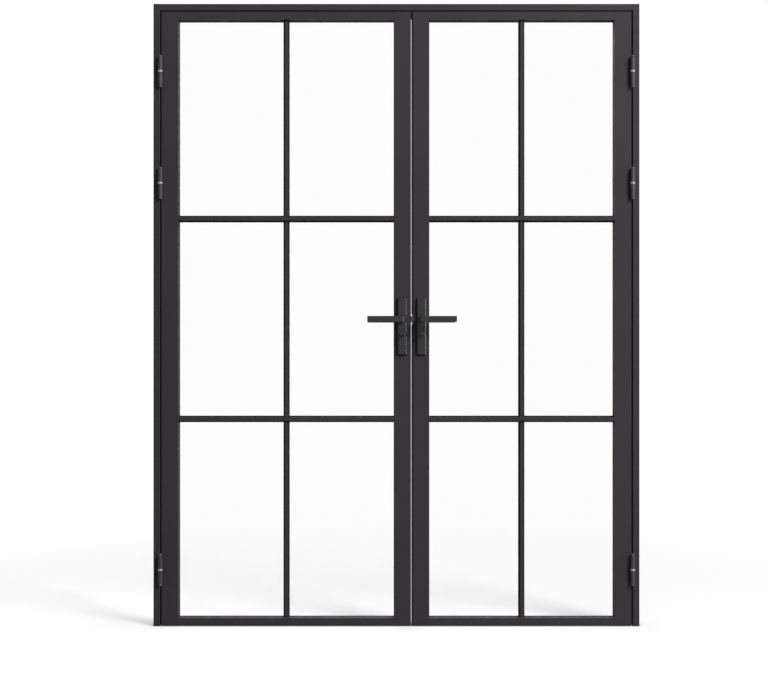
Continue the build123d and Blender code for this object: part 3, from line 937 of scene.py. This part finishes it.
@dataclass
class LockFixings:
    """The screws of the forend, the strike and the top bolt's keeper."""

    forend_end: float = 9.0 * MM
    strike_end: float = 7.0 * MM
    keeper_end: float = 9.0 * MM

    def edge_spots(self, node: str, outward: int, end: float) -> list[ScrewSpot]:
        """The two screws of a plate on a leaf's edge.

        Args:
            node: The CAD piece.
            outward: The sign of X that its face points to.
            end: The screws' distance from the plate's ends.

        Returns:
            The two spots.
        """
        low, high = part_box(node)
        x = high.x if outward > 0 else low.x
        facing = Vector((outward, 0.0, 0.0))
        return [ScrewSpot(Vector((x, 0.0, z)), facing) for z in (low.z + end, high.z - end)]

    def keeper_spots(self) -> list[ScrewSpot]:
        """The screws of the keeper under the head.

        Returns:
            The two spots, near the keeper's ends.
        """
        low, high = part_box("bolt_keeper")
        y = (low.y + high.y) / 2
        facing = Vector((0.0, 0.0, -1.0))
        places = (low.x + self.keeper_end, high.x - self.keeper_end)
        return [ScrewSpot(Vector((x, y, low.z)), facing) for x in places]

    def build(self, screws: ScrewTree, finishes: Finishes) -> None:
        """Set the screws of the three plates.

        Args:
            screws: The geometry tree of the screw heads.
            finishes: The materials.
        """
        steel = finishes.materials["bright_steel"]
        plates = (
            ("forend_screws", self.edge_spots("left_lock_case", 1, self.forend_end), "left_leaf"),
            ("strike_screws", self.edge_spots("strike_plate", -1, self.strike_end), "right_leaf"),
            ("keeper_screws", self.keeper_spots(), "frame"),
        )
        for name, spots, body in plates:
            settle(screws.piece(name, Screw.LOCK, spots, steel), body)


class SealTree:
    """Geometry nodes that draw a D section along a path of edges."""

    SIZES = ("half width", "height", "corner radius", "turn")

    def __init__(self, profile_steps: int = 24, corner_steps: int = 5) -> None:
        """Build the tree.

        Args:
            profile_steps: Points round the section.
            corner_steps: Points round each corner of the path.
        """
        self.tree, given = new_geometry_tree("drawn_seal", self.SIZES)
        tree = self.tree
        path = add(tree, "GeometryNodeMeshToCurve", {"Mesh": given.outputs["Geometry"]})
        inputs = {
            "Curve": path.outputs["Curve"],
            "Radius": given.outputs["corner radius"],
            "Count": corner_steps,
        }
        rounded = add(tree, "GeometryNodeFilletCurve", inputs, mode="POLY")
        inputs = {"Curve": rounded.outputs["Curve"], "Tilt": given.outputs["turn"]}
        tilted = add(tree, "GeometryNodeSetCurveTilt", inputs)
        inputs = {
            "Curve": tilted.outputs["Curve"],
            "Profile Curve": self._section(given, profile_steps),
            "Fill Caps": True,
        }
        drawn = add(tree, "GeometryNodeCurveToMesh", inputs)
        end_geometry_tree(tree, given, drawn.outputs["Mesh"])

    def _section(self, given: Node, steps: int) -> Socket:
        """A D with its flat side on the path, standing towards the section's own -X.

        Args:
            given: The tree's input node.
            steps: Points round the section.

        Returns:
            The section's curve.
        """
        tree = self.tree
        circle = add(tree, "GeometryNodeCurvePrimitiveCircle", {"Resolution": steps, "Radius": 1.0})
        position = add(tree, "GeometryNodeInputPosition").outputs["Position"]
        parts = add(tree, "ShaderNodeSeparateXYZ", {"Vector": position})
        raised = math_node(tree, "MINIMUM", parts.outputs["X"], 0.0)
        depth = math_node(tree, "MULTIPLY", raised, given.outputs["height"])
        width = math_node(tree, "MULTIPLY", parts.outputs["Y"], given.outputs["half width"])
        place = add(tree, "ShaderNodeCombineXYZ", {"X": depth, "Y": width})
        inputs = {"Geometry": circle.outputs["Curve"], "Position": place.outputs["Vector"]}
        return add(tree, "GeometryNodeSetPosition", inputs).outputs["Geometry"]

    def piece(self, name: str, paths: list[list[Point]], values: dict[str, object]) -> bpy.types.Object:
        """Draw a seal along its paths.

        Args:
            name: The piece's name.
            paths: The corners of each length, in order.
            values: The tree's inputs, by name.

        Returns:
            The piece.
        """
        points: list[Point] = []
        edges: list[tuple[int, int]] = []
        for path in paths:
            first = len(points)
            points += path
            edges += [(first + step, first + step + 1) for step in range(len(path) - 1)]
        mesh = bpy.data.meshes.new(name)
        mesh.from_pydata(points, edges, [])
        return grown(name, mesh, self.tree, values)


@dataclass
class Seals:
    """The rubber seals: one round the frame's stops, one on the passive leaf's edge."""

    width: float = 8.0 * MM
    bend: float = 7.0 * MM
    leaf_seal_height: float = 4.0 * MM
    latch_notch: float = 17.0 * MM
    turn_to_left: float = math.radians(-90.0)

    def build_frame_seal(self, tree: SealTree, finishes: Finishes) -> None:
        """One length up the left jamb, across the head and down the right jamb.

        Args:
            tree: The geometry tree of the seals.
            finishes: The materials.
        """
        low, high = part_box("rebate_seal")
        half = self.width / 2
        left, right, top = low.x + half, high.x - half, high.z - half
        path = [(left, high.y, low.z), (left, high.y, top), (right, high.y, top), (right, high.y, low.z)]
        values = {
            "half width": half,
            "height": high.y - low.y,
            "corner radius": self.bend,
            "turn": 0.0,
            "finish": finishes.materials["black_rubber"],
        }
        piece = tree.piece("frame_seal", [path], values)
        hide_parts("rebate_seal")
        settle(piece, "frame")

    def build_leaf_seal(self, tree: SealTree, finishes: Finishes) -> None:
        """Two lengths on the passive leaf's edge, above and below the latch.

        Args:
            tree: The geometry tree of the seals.
            finishes: The materials.
        """
        low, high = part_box("meeting_seal")
        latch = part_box("left_latch_bolt")
        middle = (latch[0].z + latch[1].z) / 2
        y = (low.y + high.y) / 2
        spans = ((low.z, middle - self.latch_notch), (middle + self.latch_notch, high.z))
        paths = [[(high.x, y, start), (high.x, y, end)] for start, end in spans]
        values = {
            "half width": self.width / 2,
            "height": self.leaf_seal_height,
            "corner radius": 0.0,
            "turn": self.turn_to_left,
            "finish": finishes.materials["black_rubber"],
        }
        piece = tree.piece("leaf_seal", paths, values)
        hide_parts("meeting_seal")
        settle(piece, "right_leaf")

    def build(self, finishes: Finishes) -> None:
        """Draw both seals.

        Args:
            finishes: The materials.
        """
        tree = SealTree()
        self.build_frame_seal(tree, finishes)
        self.build_leaf_seal(tree, finishes)


# Studio
@dataclass
class Studio:
    """Pale floor, white surroundings, three soft lamps and the camera."""

    # Camera
    viewing_distance: float = 4.5
    view_x: float = -0.042
    view_z: float = 0.949
    view_width: float = 2.5915
    sensor: float = 36.0
    # Floor: its tones, its own white and the shade of the doors on it
    floor_half: float = 40.0
    floor_tone_left: float = 0.79
    floor_tone_right: float = 0.57
    floor_tone_reach: float = 1.5
    floor_lighting_tone: float = 0.3
    floor_lit_level: float = 0.51
    floor_glow_share: float = 0.4
    floor_near: float = 1.0
    floor_far: float = 2.7
    contact_reach: float = 0.015
    shade_reach: float = 1.5
    shade_depth: float = 0.45
    shade_samples: int = 8
    # Lamps and surroundings
    lamp_aim: Point = (0.0, 0.0, 1.05)
    key_at: Point = (4.8, -4.6, 5.5)
    key_side: float = 3.0
    key_power: float = 825.0
    fill_at: Point = (-0.3, 4.5, 4.2)
    fill_side: float = 2.4
    fill_power: float = 150.0
    rim_at: Point = (6.0, -0.9, 1.2)
    rim_side: float = 1.2
    rim_power: float = 120.0
    ambient: float = 0.12

    @staticmethod
    def seen_directly(tree: Tree) -> Socket:
        """1 for rays from the camera, a mirror or a pane, and 0 for the light that falls on the doors.

        Args:
            tree: The tree to add to.

        Returns:
            The value's socket.
        """
        path = add(tree, "ShaderNodeLightPath")
        direct = math_node(tree, "MAXIMUM", path.outputs["Is Camera Ray"], path.outputs["Is Glossy Ray"])
        seen = math_node(tree, "MAXIMUM", direct, path.outputs["Is Transmission Ray"])
        unscattered = math_node(tree, "LESS_THAN", path.outputs["Diffuse Depth"], 1.0)
        return math_node(tree, "MULTIPLY", seen, unscattered)

    def openness(self, tree: Tree, reach: float) -> Socket:
        """1 on the open floor, falling towards 0 under and beside the doors.

        Args:
            tree: The floor's tree.
            reach: How far off the doors still shade the floor, in metres.

        Returns:
            The value's socket.
        """
        inputs = {"Distance": reach}
        return add(tree, "ShaderNodeAmbientOcclusion", inputs, samples=self.shade_samples).outputs["AO"]

    def build_world(self) -> None:
        """White where it is seen, softer where it lights."""
        world = bpy.data.worlds.new("white_studio")
        world.use_nodes = True
        tree = world.node_tree
        level = remap(tree, self.seen_directly(tree), 0.0, 1.0, self.ambient, 1.0)
        feed(tree, tree.nodes["Background"], {"Color": shade(WHITE, 1.0), "Strength": level})
        bpy.context.scene.world = world

    def floor_tone(self, tree: Tree, place: Socket, seen: Socket) -> Socket:
        """The floor's tone, darker to the right where the key is near.

        Args:
            tree: The floor's tree.
            place: The place on the floor.
            seen: 1 where the floor is seen, 0 where it only lights the doors.

        Returns:
            The tone's socket.
        """
        across = add(tree, "ShaderNodeSeparateXYZ", {"Vector": place}).outputs["X"]
        reach = self.floor_tone_reach
        pale = remap(tree, across, -reach, reach, self.floor_tone_left, self.floor_tone_right)
        return remap(tree, seen, 0.0, 1.0, self.floor_lighting_tone, pale)

    def glow_share(self, tree: Tree, place: Socket) -> Socket:
        """How much of the floor's look is its own white: some of it near the doors, all of it far away.

        Args:
            tree: The floor's tree.
            place: The place on the floor.

        Returns:
            The share's socket.
        """
        distance = add(tree, "ShaderNodeVectorMath", {0: place}, operation="LENGTH").outputs["Value"]
        inputs = {"Value": distance, "From Min": self.floor_near, "From Max": self.floor_far}
        fade = add(tree, "ShaderNodeMapRange", inputs, interpolation_type="SMOOTHSTEP")
        return remap(tree, fade.outputs["Result"], 0.0, 1.0, self.floor_glow_share, 1.0)

    def glow_level(self, tree: Tree, share: Socket) -> Socket:
        """The level of the floor's own white, which makes white with the lit part, less the doors' shade.

        Args:
            tree: The floor's tree.
            share: How much of the floor's look is its own white.

        Returns:
            The level's socket.
        """
        lit = math_node(tree, "MULTIPLY", math_node(tree, "SUBTRACT", 1.0, share), self.floor_lit_level)
        level = math_node(tree, "DIVIDE", math_node(tree, "SUBTRACT", 1.0, lit), share)
        contact = self.openness(tree, self.contact_reach)
        around = self.openness(tree, self.shade_reach)
        soft = remap(tree, around, 0.0, 1.0, 1.0 - self.shade_depth, 1.0)
        return math_node(tree, "MULTIPLY", math_node(tree, "MULTIPLY", contact, soft), level)

    def floor_material(self) -> bpy.types.Material:
        """A pale matt floor that shows white and keeps the doors' shadow.

        Returns:
            The new material.
        """
        material = bpy.data.materials.new("pale_floor")
        material.use_nodes = True
        tree = material.node_tree
        tree.nodes.remove(tree.nodes["Principled BSDF"])
        seen = self.seen_directly(tree)
        place = add(tree, "ShaderNodeTexCoord").outputs["Object"]
        share = self.glow_share(tree, place)
        matt = add(tree, "ShaderNodeBsdfDiffuse", {"Color": self.floor_tone(tree, place, seen)})
        glow = add(tree, "ShaderNodeEmission", {"Strength": self.glow_level(tree, share)})
        glowing = math_node(tree, "MULTIPLY", seen, share)
        inputs = {"Fac": glowing, 1: matt.outputs["BSDF"], 2: glow.outputs["Emission"]}
        mix = add(tree, "ShaderNodeMixShader", inputs)
        feed(tree, tree.nodes["Material Output"], {"Surface": mix.outputs["Shader"]})
        return material

    def build_floor(self) -> bpy.types.Object:
        """Lay the floor.

        Returns:
            The floor.
        """
        half = self.floor_half
        corners = [(-half, -half, 0.0), (half, -half, 0.0), (half, half, 0.0), (-half, half, 0.0)]
        mesh = bpy.data.meshes.new("floor")
        mesh.from_pydata(corners, [], [(0, 1, 2, 3)])
        mesh.materials.append(self.floor_material())
        floor = bpy.data.objects.new("floor", mesh)
        bpy.context.scene.collection.objects.link(floor)
        return floor

    def add_lamp(self, name: str, at: Point, side: float, power: float) -> bpy.types.Object:
        """Add a square soft lamp aimed at the doors.

        Args:
            name: The lamp's name.
            at: Where it hangs.
            side: The square's side.
            power: Its power in watts.

        Returns:
            The lamp.
        """
        data = bpy.data.lights.new(name, "AREA")
        data.shape = "SQUARE"
        data.size = side
        data.energy = power
        lamp = bpy.data.objects.new(name, data)
        lamp.location = at
        lamp.rotation_euler = (Vector(self.lamp_aim) - Vector(at)).to_track_quat("-Z", "Y").to_euler()
        lamp.visible_camera = False
        lamp.visible_transmission = False
        bpy.context.scene.collection.objects.link(lamp)
        return lamp

    @staticmethod
    def keep_off(floor: bpy.types.Object, lamps: list[bpy.types.Object]) -> None:
        """Flag lamps off the floor, so that it keeps the key's shadow alone.

        Args:
            floor: The floor.
            lamps: The lamps that don't light it.
        """
        flagged = bpy.data.collections.new("flagged_from_small_lamps")
        flagged.objects.link(floor)
        flagged.collection_objects[0].light_linking.link_state = "EXCLUDE"
        for lamp in lamps:
            lamp.light_linking.receiver_collection = flagged

    def build_camera(self) -> None:
        """A camera square on to the front of the leaves."""
        data = bpy.data.cameras.new("camera")
        data.sensor_width = self.sensor
        data.lens = self.sensor * self.viewing_distance / self.view_width
        camera = bpy.data.objects.new("camera", data)
        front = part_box("left_hinge_stile")[0].y
        camera.location = (self.view_x, front - self.viewing_distance, self.view_z)
        camera.rotation_euler = (math.pi / 2, 0.0, 0.0)
        bpy.context.scene.collection.objects.link(camera)
        bpy.context.scene.camera = camera

    def build(self) -> None:
        """Set up everything around the doors."""
        bpy.context.scene.view_settings.view_transform = "Standard"
        self.build_world()
        floor = self.build_floor()
        self.add_lamp("key", self.key_at, self.key_side, self.key_power)
        fill = self.add_lamp("fill", self.fill_at, self.fill_side, self.fill_power)
        rim = self.add_lamp("rim", self.rim_at, self.rim_side, self.rim_power)
        self.keep_off(floor, [fill, rim])
        self.build_camera()


def main() -> None:
    """Dress the doors and set up the studio."""
    logging.basicConfig(level=logging.INFO, format="%(name)s: %(message)s")
    finishes = Finishes(SurfaceEffects())
    finishes.dress_all()
    screws = ScrewTree()
    for side in Side:
        HingeSet(side).build(screws, finishes)
        Glazing(side).build(screws, finishes)
        HandleSet(side).build(screws, finishes)
    LockFixings().build(screws, finishes)
    Seals().build(finishes)
    Studio().build()


if __name__ == "__main__":
    main()
